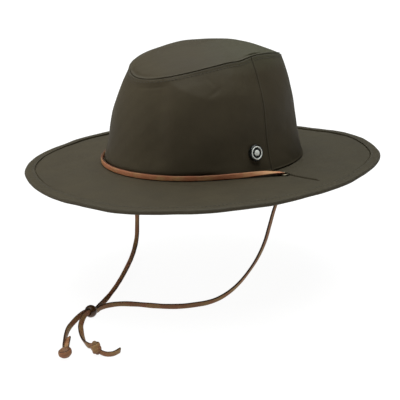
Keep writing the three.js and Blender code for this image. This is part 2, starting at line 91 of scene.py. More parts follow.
def mesh_object(name, points, faces, material, corner_uv=None, marks=None):
    """A smooth mesh from an array of points and a list of arrays of faces, each of one corner count."""
    mesh = bpy.data.meshes.new(name)
    mesh.vertices.add(len(points))
    mesh.vertices.foreach_set("co", np.ascontiguousarray(points, np.float32).ravel())
    corners = np.concatenate([face.ravel() for face in faces])
    sizes = np.concatenate([np.full(len(face), face.shape[1]) for face in faces])
    starts = np.concatenate([[0], np.cumsum(sizes)[:-1]])
    mesh.loops.add(len(corners))
    mesh.loops.foreach_set("vertex_index", corners.astype(np.int32))
    mesh.polygons.add(len(sizes))
    mesh.polygons.foreach_set("loop_start", starts.astype(np.int32))
    mesh.polygons.foreach_set("use_smooth", np.ones(len(sizes), bool))
    mesh.update(calc_edges=True)
    if corner_uv is not None:
        layer = mesh.uv_layers.new(name="cloth")
        layer.data.foreach_set("uv", np.ascontiguousarray(corner_uv, np.float32).ravel())
    for mark, values in (marks or {}).items():
        attribute = mesh.attributes.new(mark, "FLOAT", "POINT")
        attribute.data.foreach_set("value", np.ascontiguousarray(values, np.float32).ravel())
    mesh.validate()
    mesh.materials.append(material)
    return bpy.data.objects.new(name, mesh)


def grid_faces(columns, rows, first, goes_round, flip, kept=None):
    """Quads of a grid whose vertices start at first, with the column and row of each corner."""
    spans = columns if goes_round else columns - 1
    i, j = np.meshgrid(np.arange(spans), np.arange(rows - 1), indexing="ij")
    if kept is not None:
        i, j = i[kept], j[kept]
    i, j = i.ravel(), j.ravel()
    corner_i = np.stack([i, i + 1, i + 1, i], 1)
    corner_j = np.stack([j, j, j + 1, j + 1], 1)
    if flip:
        corner_i, corner_j = corner_i[:, ::-1], corner_j[:, ::-1]
    return first + (corner_i % columns) * rows + corner_j, corner_i, corner_j


def cloth_wall(name, outer, inner, goes_round, wear, kept=None, replaced=()):
    """A cloth wall between two grids of points of one size, closed at its edges.

    kept, where given, says which cells of the grids are there. The others are holes through the wall.
    """
    columns, rows, _ = outer.shape
    count = columns * rows
    top, top_i, top_j = grid_faces(columns, rows, 0, goes_round, False, kept)
    low, low_i, low_j = grid_faces(columns, rows, count, goes_round, True, kept)
    onward = np.roll(top, -1, 1)
    unshared = ~np.isin(top * count + onward, onward * count + top)

    def closing(values, deeper=0):
        """The corners of the quads that close the wall, along the top's unshared sides."""
        a, b = values[unshared], np.roll(values, -1, 1)[unshared]
        return np.stack([b, a, a + deeper, b + deeper], 1)

    faces = np.concatenate([top, low, closing(top, count)])
    corner_i = np.concatenate([top_i, low_i, closing(top_i)])
    corner_j = np.concatenate([top_j, low_j, closing(top_j)])
    ends = np.concatenate([outer, outer[:1]]) if goes_round else outer
    around = run(ends, 0)[:, rows // 2]
    along = run(outer, 1)[columns // 2]
    uv = np.stack([around[corner_i], along[corner_j]], -1)
    points = np.concatenate([outer.reshape(-1, 3), inner.reshape(-1, 3)])
    worn = np.concatenate([wear.ravel(), np.zeros(count)])
    obj = mesh_object(name, points, [faces], COTTON, uv.reshape(-1, 2), {"wear": worn})
    return put(drop_loose(obj), replaced)


def drop_loose(obj):
    """Takes away vertices that no face uses."""
    work = bmesh.new()
    work.from_mesh(obj.data)
    loose = [vertex for vertex in work.verts if not vertex.link_faces]
    bmesh.ops.delete(work, geom=loose, context="VERTS")
    work.to_mesh(obj.data)
    work.free()
    return obj


# Shapes in numbers

def run(points, axis):
    """Distance travelled along an axis of an array of points."""
    steps = np.linalg.norm(np.diff(points, axis=axis), axis=-1)
    start = np.zeros_like(np.take(steps, [0], axis))
    return np.concatenate([start, np.cumsum(steps, axis)], axis)


def smooth(value, low, high):
    share = np.clip((value - low) / (high - low), 0, 1)
    return share * share * (3 - 2 * share)


def between(a, b, share):
    return a + (b - a) * share


def bump(distance, centre, width):
    return np.exp(-(((distance - centre) / width) ** 2))


def clustered(low, high, count, crowding):
    """Numbers from low to high, closer together towards both ends."""
    share = np.linspace(0, 1, count)
    return low + (high - low) * (share - crowding * np.sin(2 * np.pi * share) / (2 * np.pi))


def unit(vectors):
    return vectors / np.linalg.norm(vectors, axis=-1, keepdims=True)


def normals(surface, u, v):
    step = 1e-3
    along_u = surface(u + step, v) - surface(u - step, v)
    along_v = surface(u, v + step) - surface(u, v - step)
    return unit(np.cross(along_u, along_v))


def cloth_noise(points, size, seed):
    """A soft uneven field of about one unit, with features of a given size, the same each run."""
    random = np.random.default_rng(seed)
    total = np.zeros(points.shape[:-1])
    for _ in range(8):
        heading = unit(random.normal(size=3))
        pitch = size * random.uniform(0.7, 1.6)
        total += np.sin(points @ heading * (2 * np.pi / pitch) + random.uniform(0, 2 * np.pi))
    return total / math.sqrt(8)


# Materials

class Nodes:
    """A material's nodes, with short calls to add and join them."""

    def __init__(self, name):
        self.material = bpy.data.materials.new(name)
        self.material.use_nodes = True
        self.tree = self.material.node_tree
        self.shader = self.tree.nodes["Principled BSDF"]

    def plug(self, socket, value):
        """Joins another node's output to a socket, or gives the socket a value of its own."""
        if isinstance(value, bpy.types.NodeSocket):
            self.tree.links.new(value, socket)
        elif socket.type == "RGBA":
            socket.default_value = (*value, 1)
        else:
            socket.default_value = value

    def add(self, kind, inputs=None, **settings):
        node = self.tree.nodes.new("ShaderNode" + kind)
        for key, value in settings.items():
            setattr(node, key, value)
        for key, value in (inputs or {}).items():
            self.plug(node.inputs[key], value)
        return node

    def set(self, **values):
        for key, value in values.items():
            self.plug(self.shader.inputs[key.replace("_", " ")], value)

    def places(self):
        return self.add("TexCoord").outputs["Object"]

    def noise(self, vector, size, detail=3.0, roughness=0.5):
        inputs = {"Vector": vector, "Scale": 1 / size, "Detail": detail, "Roughness": roughness}
        return self.add("TexNoise", inputs).outputs["Fac"]

    def ramp(self, value, *stops):
        node = self.add("ValToRGB", {"Fac": value})
        ramp = node.color_ramp
        while len(ramp.elements) < len(stops):
            ramp.elements.new(1.0)
        for element, (place, colour) in zip(ramp.elements, stops):
            element.position = place
            element.color = (*colour, 1)
        return node.outputs["Color"]

    def mix(self, share, a, b, blend="MIX"):
        node = self.add("Mix", data_type="RGBA", blend_type=blend)
        for index, value in ((0, share), (6, a), (7, b)):
            self.plug(node.inputs[index], value)
        return node.outputs[2]

    def maths(self, operation, a, b=0.0):
        node = self.add("Math", operation=operation)
        for socket, value in zip(node.inputs, (a, b)):
            self.plug(socket, value)
        return node.outputs[0]

    def spread(self, value, low, high):
        inputs = {"Value": value, "To Min": low, "To Max": high}
        return self.add("MapRange", inputs).outputs["Result"]

    def relief(self, height, distance, strength=1.0, below=None):
        inputs = {"Height": height, "Distance": distance, "Strength": strength}
        if below is not None:
            inputs["Normal"] = below
        return self.add("Bump", inputs).outputs["Normal"]


def waxed_cotton():
    """Dull olive-brown twill: a fine diagonal weave, cloudy wax and paler worn edges, with painted shade on
    the brim and painted light on the tip.
    """
    n = Nodes("waxed_cotton")
    places = n.places()
    clouds = n.noise(places, 26 * MM, 4, 0.55)
    tint = n.ramp(clouds, (0.35, (0.0430, 0.0332, 0.0176)), (0.65, (0.0532, 0.0418, 0.0228)))
    specks = n.noise(places, 1.1 * MM, 2, 0.6)
    tint = n.mix(n.spread(specks, 0.0, 0.5), tint, (0.057, 0.045, 0.027))
    where = n.add("SeparateXYZ", {"Vector": places}).outputs
    across_x, across_y = (n.maths("MULTIPLY", where[key], way) for key, way in zip("XY", ACROSS_SIDE))
    across = n.maths("ADD", n.maths("ADD", across_x, across_y), 0.1)
    # Painted shade: the brim is darkened and cooled towards the wearer's back left, along ACROSS_SIDE.
    greys = ((0.0, (0.93, 0.93, 0.93)), (0.18, (0.86, 0.88, 0.88)), (0.25, (0.77, 0.80, 0.80)))
    brim_painted_shade = n.ramp(across, *greys)
    on_brim = n.ramp(where["Z"], (0.0, (1, 1, 1)), (0.012, (0, 0, 0)))
    tint = n.mix(1.0, tint, n.mix(on_brim, (1, 1, 1), brim_painted_shade), "MULTIPLY")
    # Painted light: the tip is paled to a greener colour towards the wearer's back left, along ACROSS_SIDE.
    on_tip = n.ramp(where["Z"], (0.086, (0, 0, 0)), (0.104, (1, 1, 1)))
    tip_painted_light = n.ramp(across, (0.09, (0, 0, 0)), (0.17, (0.8, 0.8, 0.8)))
    tint = n.mix(n.mix(1.0, on_tip, tip_painted_light, "MULTIPLY"), tint, (0.0680, 0.0685, 0.0410))
    wear = n.add("Attribute", attribute_name="wear").outputs["Fac"]
    rubbed = n.maths("MULTIPLY", wear, n.spread(n.noise(places, 6 * MM, 4), 0.1, 0.9))
    tint = n.mix(rubbed, tint, (0.076, 0.069, 0.054))
    uv = n.add("UVMap", uv_map="cloth").outputs["UV"]
    twill = n.add("Mapping", {"Vector": uv, "Rotation": (0, 0, math.radians(45))}).outputs["Vector"]
    wave = {"Vector": twill, "Scale": 1 / (3.2 * MM), "Distortion": 0.6, "Detail": 1.0}
    threads = n.add("TexWave", wave).outputs["Fac"]
    weave = n.relief(threads, 0.05 * MM)
    crumple = n.noise(places, 9 * MM, 5, 0.55)
    n.set(
        Base_Color=tint,
        Roughness=n.spread(clouds, 0.62, 0.78),
        Specular_IOR_Level=0.2,
        Normal=n.relief(crumple, 0.35 * MM, 1.0, weave),
    )
    return n.material


def lace_leather():
    """Oiled brown lace leather: a grained face, streaks along it and dark cut edges, with light and shade
    painted per piece: pale for the lit hat band, dark for the chin laces in the shade under the hat.
    """
    n = Nodes("lace_leather")
    places = n.places()
    uv = n.add("UVMap", uv_map="cloth").outputs["UV"]
    streak = n.add("Mapping", {"Vector": uv, "Scale": (1, 0.12, 1)}).outputs["Vector"]
    streaks = n.noise(streak, 2.2 * MM, 4, 0.6)
    pale = n.ramp(streaks, (0.3, (0.390, 0.138, 0.066)), (0.7, (0.620, 0.285, 0.145)))
    dark = n.ramp(streaks, (0.3, (0.140, 0.066, 0.026)), (0.7, (0.270, 0.138, 0.058)))
    # Painted light and shade: the same leather in a dark shaded copy and a pale lit copy, chosen by the
    # tone mark.
    painted_light_tone = n.add("Attribute", attribute_name="painted_light_tone").outputs["Fac"]
    face = n.mix(painted_light_tone, dark, pale)
    patches = n.noise(places, 7 * MM, 2)
    red = n.mix(painted_light_tone, (0.180, 0.062, 0.030), (0.450, 0.160, 0.078))
    yellow = n.mix(painted_light_tone, (0.215, 0.132, 0.046), (0.520, 0.320, 0.140))
    face = n.mix(n.ramp(patches, (0.42, (0, 0, 0)), (0.60, (0.6, 0.6, 0.6))), face, red)
    other = n.noise(places, 11 * MM, 2)
    face = n.mix(n.ramp(other, (0.48, (0, 0, 0)), (0.66, (0.8, 0.8, 0.8))), face, yellow)
    edge = n.add("Attribute", attribute_name="edge").outputs["Fac"]
    tint = n.mix(edge, face, n.mix(painted_light_tone, (0.030, 0.014, 0.006), (0.090, 0.030, 0.012)))
    grain = n.noise(places, 0.55 * MM, 3, 0.6)
    n.set(
        Base_Color=tint,
        Roughness=n.spread(streaks, 0.50, 0.66),
        Specular_IOR_Level=0.28,
        Normal=n.relief(grain, 0.06 * MM, 0.8),
    )
    return n.material


def thread_cotton():
    n = Nodes("stitch_thread")
    fibres = n.noise(n.places(), 0.3 * MM, 2)
    tint = n.ramp(fibres, (0.3, (0.028, 0.024, 0.016)), (0.7, (0.048, 0.042, 0.031)))
    n.set(Base_Color=tint, Roughness=0.7, Normal=n.relief(fibres, 0.03 * MM))
    return n.material


def antique_brass():
    n = Nodes("antique_brass")
    patina = n.noise(n.places(), 1.6 * MM, 4, 0.6)
    tint = n.ramp(patina, (0.35, (0.030, 0.024, 0.015)), (0.65, (0.150, 0.130, 0.090)))
    n.set(
        Base_Color=tint,
        Metallic=1.0,
        Roughness=n.spread(patina, 0.28, 0.48),
        Normal=n.relief(patina, 0.03 * MM),
    )
    return n.material


def black_enamel():
    n = Nodes("black_enamel")
    haze = n.noise(n.places(), 3 * MM, 3)
    tint = n.ramp(haze, (0.3, (0.004, 0.005, 0.004)), (0.7, (0.009, 0.010, 0.009)))
    n.set(Base_Color=tint, Roughness=n.spread(haze, 0.22, 0.34), Coat_Weight=0.3, Coat_Roughness=0.15)
    return n.material


def pale_silver():
    n = Nodes("pale_silver")
    brushing = n.noise(n.places(), 0.5 * MM, 3)
    tint = n.ramp(brushing, (0.3, (0.80, 0.82, 0.77)), (0.7, (0.90, 0.92, 0.87)))
    n.set(
        Base_Color=tint,
        Metallic=0.0,
        Roughness=n.spread(brushing, 0.30, 0.42),
        Normal=n.relief(brushing, 0.01 * MM),
    )
    return n.material


def polished_wood():
    n = Nodes("polished_wood")
    rings = n.add("Mapping", {"Vector": n.places(), "Scale": (1, 0.3, 1)}).outputs["Vector"]
    figure = n.noise(rings, 1.4 * MM, 4, 0.6)
    tint = n.ramp(figure, (0.35, (0.030, 0.013, 0.004)), (0.65, (0.105, 0.046, 0.015)))
    n.set(
        Base_Color=tint,
        Roughness=n.spread(figure, 0.26, 0.38),
        Specular_IOR_Level=0.32,
        Coat_Weight=0.12,
        Coat_Roughness=0.14,
        Normal=n.relief(figure, 0.02 * MM),
    )
    return n.material


COTTON = waxed_cotton()
LEATHER = lace_leather()
THREAD = thread_cotton()
BRASS = antique_brass()
ENAMEL = black_enamel()
SILVER = pale_silver()
WOOD = polished_wood()


# Laces: a flat strip of leather swept along a route

LACE_WIDTH = 4.7 * MM
LACE_THICKNESS = 2.0 * MM
LACE_SIDES = 28

# Routes of the two strands of the chin strap, from the eyelet to the knot: the place, and the
# direction across the flat lace
LEFT_STRAND = [
    ((0.1008, -0.0025, 0.0000), (0.15, -0.99, 0)),
    ((0.1006, -0.0030, -0.0070), (0.15, -0.99, 0)),
    ((0.0990, -0.0056, -0.0180), (0.14, -0.99, 0)),
    ((0.0966, -0.0094, -0.0310), (0.14, -0.99, 0)),
    ((0.0944, -0.0126, -0.0460), (0.12, -0.99, 0)),
    ((0.0922, -0.0160, -0.0610), (0.12, -0.99, 0)),
    ((0.0886, -0.0214, -0.0760), (0.15, -0.97, 0.1)),
    ((0.0842, -0.0282, -0.0886), (0.24, -0.93, 0.25)),
    ((0.0794, -0.0354, -0.0992), (0.2, -0.85, 0.5)),
    ((0.0740, -0.0432, -0.1076), (0.15, -0.65, 0.75)),
    ((0.0686, -0.0522, -0.1132), (0.1, -0.4, 0.9)),
    ((0.0640, -0.0614, -0.1155), (0.05, -0.15, 1)),
    ((0.0594, -0.0724, -0.1156), (0, 0, 1)),
    ((0.0530, -0.0836, -0.1156), (0, 0, 1)),
    ((0.0438, -0.0934, -0.1156), (0, 0, 1)),
    ((0.0326, -0.1016, -0.1156), (0, 0, 1)),
    ((0.0200, -0.1096, -0.1156), (0, 0, 1)),
    ((0.0090, -0.1192, -0.1156), (0, 0, 1)),
    ((0.0040, -0.1290, -0.1155), (0, 0, 1)),
    ((0.0044, -0.1384, -0.1149), (0, 0, 1)),
    ((0.0077, -0.1447, -0.1141), (0, 0, 1)),
    ((0.0086, -0.1485, -0.1133), (0, 0, 1)),
    ((0.0095, -0.1523, -0.1125), (0, 0, 1)),
    ((0.0104, -0.1562, -0.1117), (0, 0, 1)),
    ((0.0111, -0.1592, -0.1113), (-0.1, -0.1, 1)),
    ((0.0132, -0.1646, -0.1129), (-0.4, -0.3, 0.85)),
    ((0.0186, -0.1720, -0.1156), (-0.66, -0.5, 0.5)),
    ((0.0286, -0.1798, -0.1158), (-0.6, -0.65, 0.45)),
    ((0.0386, -0.1864, -0.1156), (-0.45, -0.6, 0.65)),
    ((0.0484, -0.1916, -0.1156), (-0.25, -0.4, 0.88)),
    ((0.0572, -0.1944, -0.1146), (0, 0, 1)),
    ((0.06355, -0.1951, -0.1129), (0, 0.1, 1)),
]
RIGHT_STRAND = [
    ((-0.1008, -0.0025, 0.0000), (1, 0, 0)),
    ((-0.1004, -0.0026, -0.0090), (0.93, 0.36, 0)),
    ((-0.0982, -0.0030, -0.0280), (0.8, 0.6, 0)),
    ((-0.0956, -0.0042, -0.0500), (0.93, 0.36, 0)),
    ((-0.0930, -0.0056, -0.0700), (0.95, 0.3, 0)),
    ((-0.0908, -0.0078, -0.0870), (0.95, 0.3, 0)),
    ((-0.0870, -0.0122, -0.1010), (0.92, 0.38, 0.05)),
    ((-0.0818, -0.0202, -0.1104), (0.88, 0.45, 0.1)),
    ((-0.0734, -0.0318, -0.1150), (0.8, 0.55, 0.1)),
    ((-0.0616, -0.0468, -0.1160), (0.77, 0.58, 0.1)),
    ((-0.0476, -0.0646, -0.1160), (0.76, 0.58, 0.1)),
    ((-0.0342, -0.0822, -0.1158), (0.75, 0.56, 0.1)),
    ((-0.0226, -0.0986, -0.1157), (0.75, 0.55, 0.1)),
    ((-0.0138, -0.1122, -0.1156), (0.76, 0.52, 0.05)),
    ((-0.0066, -0.1238, -0.1154), (0.6, 0.36, -0.7)),
    ((-0.0006, -0.1346, -0.1150), (0.35, 0.2, -0.9)),
    ((0.0055, -0.1452, -0.1141), (0, 0, -1)),
    ((0.0064, -0.1490, -0.1133), (0, 0, -1)),
    ((0.0073, -0.1529, -0.1125), (0, 0, -1)),
    ((0.0082, -0.1567, -0.1117), (0, 0, -1)),
    ((0.0086, -0.1598, -0.1114), (0.1, 0.05, -1)),
    ((0.0078, -0.1644, -0.1132), (0.4, 0.2, -0.9)),
    ((0.0106, -0.1742, -0.1156), (0.5, 0.25, -0.82)),
    ((0.0176, -0.1848, -0.1156), (0.4, 0.2, -0.88)),
    ((0.0264, -0.1942, -0.1156), (0.25, 0.2, -0.94)),
    ((0.0358, -0.2030, -0.1156), (0.1, 0.1, -0.98)),
    ((0.0446, -0.2106, -0.1148), (0, 0, -1)),
    ((0.05225, -0.2157, -0.1131), (0, 0, -1)),
]

# Each knot is a core of leather with the lace wound over it, and its free end
LEFT_KNOT = (0.0695, -0.1970, -0.1116)
LEFT_STUB = [
    ((0.0706, -0.1960, -0.1130), (0, 0, 1)),
    ((0.0740, -0.1952, -0.1148), (0, 0, 1)),
    ((0.0782, -0.1930, -0.1156), (0, 0, 1)),
    ((0.0810, -0.1892, -0.1156), (0, 0, 1)),
    ((0.0809, -0.1846, -0.1156), (0, 0, 1)),
    ((0.0802, -0.1812, -0.1156), (0, 0, 1)),
]
RIGHT_KNOT = (0.0566, -0.2183, -0.1125)
RIGHT_CORE = (0.0566, -0.2183, -0.1128)
RIGHT_STUB = [
    ((0.0574, -0.2174, -0.1140), (0.66, 0.60, 0.45)),
    ((0.0566, -0.2167, -0.1115), (0.66, 0.60, 0.45)),
    ((0.0509, -0.2121, -0.1118), (0.66, 0.60, 0.45)),
    ((0.0433, -0.2057, -0.1132), (0.66, 0.60, 0.45)),
    ((0.0381, -0.2010, -0.1142), (0.60, 0.60, 0.52)),
    ((0.0338, -0.1972, -0.1148), (0.55, 0.60, 0.58)),
]
LEFT_INSIDE = [
    ((0.0600, -0.1948, -0.1138), (0, 0.1, 1)),
    ((0.0636, -0.1951, -0.1129), (0, 0.1, 1)),
    ((0.0672, -0.1955, -0.1124), (0, 0.1, 1)),
]


def passing(start, end, t_start, t_end, t):
    """A value that changes evenly with t, from start to end."""
    return start * (t_end - t) / (t_end - t_start) + end * (t - t_start) / (t_end - t_start)


def smooth_route(points, steps):
    """Points on a Catmull-Rom curve through a list of points, steps to each span."""
    points = np.asarray(points, float)
    points = np.vstack([2 * points[0] - points[1], points, 2 * points[-1] - points[-2]])
    gaps = np.linalg.norm(np.diff(points[:, :3], axis=0), axis=1) ** 0.5
    knots = np.concatenate([[0], np.cumsum(gaps)])
    curve = []
    for i in range(1, len(points) - 2):
        a, b, c, d = points[i - 1:i + 3]
        ta, tb, tc, td = knots[i - 1:i + 3]
        t = np.linspace(tb, tc, steps, endpoint=False)[:, None]
        bc = passing(b, c, tb, tc, t)
        abc = passing(passing(a, b, ta, tb, t), bc, ta, tc, t)
        bcd = passing(bc, passing(c, d, tc, td, t), tb, td, t)
        curve.append(passing(abc, bcd, tb, tc, t))
    return np.vstack([*curve, points[-2]])


def tube_faces(count, sides):
    """Quads between rings of points, the two end faces, and the ring and side of each quad."""
    i, j = np.meshgrid(np.arange(count - 1), np.arange(sides), indexing="ij")
    i, j = i.ravel(), j.ravel()
    after = (j + 1) % sides
    quads = np.stack([i * sides + j, i * sides + after, (i + 1) * sides + after, (i + 1) * sides + j], 1)
    ends = np.stack([np.arange(sides)[::-1], (count - 1) * sides + np.arange(sides)])
    return quads, ends, i, j


def tube_part(rings, travelled, girth, edge):
    """Points, faces, corner UVs and edge marks of a closed tube through rings of points."""
    sides = rings.shape[1]
    quads, ends, i, j = tube_faces(*rings.shape[:2])
    across = np.stack([j, j + 1, j + 1, j], 1) * girth / sides
    along = travelled[np.stack([i, i, i + 1, i + 1], 1)]
    uv = np.vstack([np.stack([across, along], -1).reshape(-1, 2), np.zeros((2 * sides, 2))])
    return rings.reshape(-1, 3), [quads, ends], uv, edge


def lace_part(route, seed, steps=8, width=LACE_WIDTH, thickness=LACE_THICKNESS, slant=0.0, bulge=0.0):
    """The flat lace swept along a route. Returns the part and its centreline.

    steps are the rings to each span, slant is how far the end is cut aslant, and bulge is 0 for
    a flat strip with cut edges and 1 where the lace is pulled round.
    """
    rows = smooth_route([(*place, *across) for place, across in route], steps)
    centre = rows[:, :3]
    tangent = unit(np.gradient(centre, axis=0))
    across = rows[:, 3:]
    across = unit(across - tangent * np.sum(across * tangent, 1, keepdims=True))
    through = np.cross(tangent, across)
    angle = np.linspace(0, 2 * np.pi, LACE_SIDES, endpoint=False) + np.pi / LACE_SIDES
    flat = np.sign(np.cos(angle)) * np.abs(np.cos(angle)) ** between(0.42, 0.90, bulge)
    deep = np.sign(np.sin(angle)) * np.abs(np.sin(angle)) ** between(0.55, 0.90, bulge)
    uneven = 1 + 0.035 * cloth_noise(centre, 14 * MM, seed)
    half_width = (width / 2 * uneven)[:, None, None]
    half_depth = (thickness / 2 * (2 - uneven))[:, None, None]
    rings = (
        centre[:, None]
        + across[:, None] * flat[None, :, None] * half_width
        + through[:, None] * deep[None, :, None] * half_depth
    )
    rings[-1] += tangent[-1] * (flat[:, None] * slant)
    rings[-2] += tangent[-2] * (flat[:, None] * slant * 0.6)
    edge = np.tile(smooth(np.abs(flat), 0.86, 0.97), (len(rings), 1))
    edge[[0, -1]] = 1
    return tube_part(rings, run(centre, 0), 2 * (width + thickness), edge.ravel()), centre


def lump_part(centre, axis, length, radius):
    """A rounded core of leather, given the cut edges' dark colour as painted shade inside the knot."""
    axis = unit(np.array(axis, float))
    side = unit(np.cross(axis, (0.0, 0.0, 1.0)))
    third = np.cross(axis, side)
    turn = np.linspace(0, 2 * np.pi, LACE_SIDES, endpoint=False)
    ring = np.cos(turn)[:, None] * side + np.sin(turn)[:, None] * third
    share = np.linspace(0.04, 0.96, 13) * np.pi
    rings = (
        np.array(centre)
        - axis * (length * np.cos(share))[:, None, None]
        + ring[None] * (radius * np.sin(share))[:, None, None]
    )
    # The edge mark of 0.45 darkens the whole core: painted shade.
    return tube_part(rings, share * length, 2 * np.pi * radius, np.full(rings[..., 0].size, 0.45))


def leather_object(name, parts, painted_light_tone):
    """One mesh of all the parts. The tone given, for all or for each point, paints light and shade: 0 for
    lace painted dark as in shade and 1 for lace painted pale as in light.
    """
    points, groups, uvs, edges = zip(*parts)
    starts = np.cumsum([0] + [len(each) for each in points])
    faces = [face + start for start, group in zip(starts, groups) for face in group]
    edge = np.concatenate(edges)
    marks = {"edge": edge, "painted_light_tone": np.zeros(len(edge)) + painted_light_tone}
    return mesh_object(name, np.vstack(points), faces, LEATHER, np.vstack(uvs), marks)


# A winding's last share of its length at each end tucks in by a share of its radius
TUCK_SHARE = 0.12
TUCK_DEPTH = 0.6


def wound(centre, axis, start, turns, radius, pitch, rows):
    """A route that winds the lace round an axis, from the shown side, and tucks in at both ends."""
    axis = unit(np.array(axis, float))
    near = np.array(SHOWN_SIDE)
    near = unit(near - axis * (near @ axis))
    side = np.cross(axis, near)
    made = []
    for share in np.linspace(0, 1, rows):
        turn = 2 * np.pi * (start + turns * share)
        along = axis * pitch * turns * (share - 0.5)
        tucked = max(0, 1 - share / TUCK_SHARE, 1 - (1 - share) / TUCK_SHARE)
        reach = radius * (1 - TUCK_DEPTH * tucked)
        out = near * math.cos(turn) + side * math.sin(turn)
        made.append((tuple(np.array(centre) + along + out * reach), tuple(axis)))
    return made


def make_laces():
    left, left_line = lace_part(LEFT_STRAND, 11)
    right, right_line = lace_part(RIGHT_STRAND, 12)
    cut_end = {"width": 4.2 * MM, "thickness": 2.0 * MM, "slant": 0.7 * MM}
    pulled = {"width": 4.7 * MM, "thickness": 2.4 * MM, "bulge": 0.8}
    narrow = {**pulled, "width": 3.8 * MM, "bulge": 1.0}
    slanted = (0.427, 0.035, -0.903)
    left_turns = wound(LEFT_KNOT, slanted, -0.62, 2.0, 2.95 * MM, 2.9 * MM, 26)
    left_parts = [
        lump_part(LEFT_KNOT, slanted, 5.9 * MM, 3.3 * MM),
        lace_part(left_turns, 13, **narrow)[0],
        lace_part(LEFT_INSIDE, 19)[0],
        lace_part(LEFT_STUB, 16, **cut_end)[0],
    ]
    leaning = (-0.12, -0.12, 0.985)
    right_turns = wound(RIGHT_KNOT, leaning, -0.57, 1.16, 4.35 * MM, 0.8 * MM, 20)
    right_parts = [
        lump_part(RIGHT_CORE, leaning, 4.4 * MM, 5.3 * MM),
        lace_part(right_turns, 14, **pulled)[0],
        lace_part(RIGHT_STUB, 18, **cut_end)[0],
    ]
    knots = {
        "left": put(leather_object("knotted_end_left", left_parts, 0.2), ["knot_left"]),
        "right": put(leather_object("knotted_end_right", right_parts, 0.22), ["knot_right"]),
    }
    bead = make_bead()
    # Painted light: the right chin lace is paled where it lies flat on the table in the brim's shade.
    forward = -right[0][:, 1]
    painted_light_under_brim = smooth(forward, 18 * MM, 45 * MM) * (1 - smooth(forward, 112 * MM, 140 * MM))
    for side, part, line, painted_light_tone, extra in (
        ("left", left, left_line, 0.06, [bead]),
        ("right", right, right_line, 0.03 + 0.75 * painted_light_under_brim, []),
    ):
        piece = put(leather_object(f"chin_lace_{side}", [part], painted_light_tone), [f"chin_cord_{side}"])
        round(float(run(line, 0)[-1]), 3)


# Turned pieces: the section is a list of radius and height in millimetres, about the piece's own axis

def turned(name, section, sides, place, axis, material, replaced):
    radius, height = (np.array(section) * MM).T
    rows = len(section)
    angle = np.linspace(0, 2 * np.pi, sides, endpoint=False)
    local = [np.outer(np.cos(angle), radius), np.outer(np.sin(angle), radius), np.tile(height, (sides, 1))]
    local = np.stack(local, -1)
    up = Vector(axis).normalized()
    turn = np.array(Vector((0, 0, 1)).rotation_difference(up).to_matrix())
    points = local.reshape(-1, 3) @ turn.T + np.array(place)
    i, j = np.meshgrid(np.arange(sides), np.arange(rows), indexing="ij")
    i, j = i.ravel(), j.ravel()
    next_i, next_j = (i + 1) % sides, (j + 1) % rows
    quads = np.stack([i * rows + j, next_i * rows + j, next_i * rows + next_j, i * rows + next_j], 1)
    obj = mesh_object(name, points, [quads], material)
    obj.data.set_sharp_from_angle(angle=math.radians(48))
    return put(obj, replaced)


def rounded(corners, radius, steps=4):
    """A closed section with each corner rounded off by an arc-like curve of a given reach."""
    corners = np.array(corners, float)
    made = []
    for before, corner, after in zip(np.roll(corners, 1, 0), corners, np.roll(corners, -1, 0)):
        back, on = before - corner, after - corner
        reach = min(radius, np.linalg.norm(back) * 0.45, np.linalg.norm(on) * 0.45)
        start = corner + unit(back) * reach
        end = corner + unit(on) * reach
        for t in np.linspace(0, 1, steps + 1):
            made.append((1 - t) ** 2 * start + 2 * t * (1 - t) * corner + t * t * end)
    return made


BEAD_CENTRE = (0.0084, -0.1526, -0.1125)
BEAD_HEADING = (0.22, -0.93, 0.2)
# In millimetres, as sections are
BEAD_RADIUS = 5.6
BEAD_BORE = 3.3


def make_bead():
    """A round bead with a drilled hole whose rim is rounded over."""
    rim = math.asin((BEAD_BORE + 0.45) / BEAD_RADIUS)
    outside = [
        (BEAD_RADIUS * math.sin(a), -BEAD_RADIUS * 0.96 * math.cos(a))
        for a in np.linspace(rim, math.pi - rim, 26)
    ]
    half = -outside[0][1]
    bore = [
        (BEAD_BORE + 0.12, half - 0.05),
        (BEAD_BORE, half - 0.4),
        (BEAD_BORE, 0.4 - half),
        (BEAD_BORE + 0.12, 0.05 - half),
    ]
    section = outside + bore
    return turned("bead_wood", section, 56, BEAD_CENTRE, BEAD_HEADING, WOOD, ["slider_bead"])


make_laces()


# Crown and brim: the same forms as the solids, with the cloth's own relief on them

CROWN_HALF_LENGTH = 101.6 * MM
CROWN_HALF_WIDTH = 84.6 * MM
CLOTH = 1.6 * MM
FOOT_FLARE = 4.6 * MM
FLARE_SHARE = 0.34
BAND_LEAVE = math.radians(56)
BAND_PRESS = 2.6 * MM
TOP_HALF_LENGTH = 83.4 * MM
TOP_HALF_WIDTH = 56.6 * MM
TOP_SET_BACK = 3.5 * MM
TOP_HEIGHT = 94.1 * MM
FRONT_DROP = 3.4 * MM
SIDE_RISE = 6.6 * MM
LEAN_SHARE = 0.54
SHOULDER_POWER = 3.9
SIDE_SEAM = math.radians(88)

# The pinch on the wearer's left front: a crease runs down from the tip seam and round to the side
# seam, and the cloth leans in above it
PINCH_REACH = 5.4 * MM
PINCH_END = math.radians(66)
PINCH_BACK = math.radians(98)
FACET_SHARE = 0.17
# The crease starts at the tip seam, falls straight to its low part and runs on nearly level
CREASE_START = math.radians(23)
CREASE_FALL = 0.009 / math.radians(1)
CREASE_LOW = 0.757
CREASE_BEND = math.radians(50)
CREASE_LEVEL = 0.0012 / math.radians(1)
CORNER_ANGLE = math.radians(33)
CORNER_WIDTH = 0.135
CORNER_REACH = 2.0 * MM
# It is sharpest at the front, and softens between two angles
CREASE_BLEND = 0.015
CREASE_SHARP = 0.03
CREASE_SOFT = 0.09
SOFTEN_START = math.radians(48)
SOFTEN_END = math.radians(66)

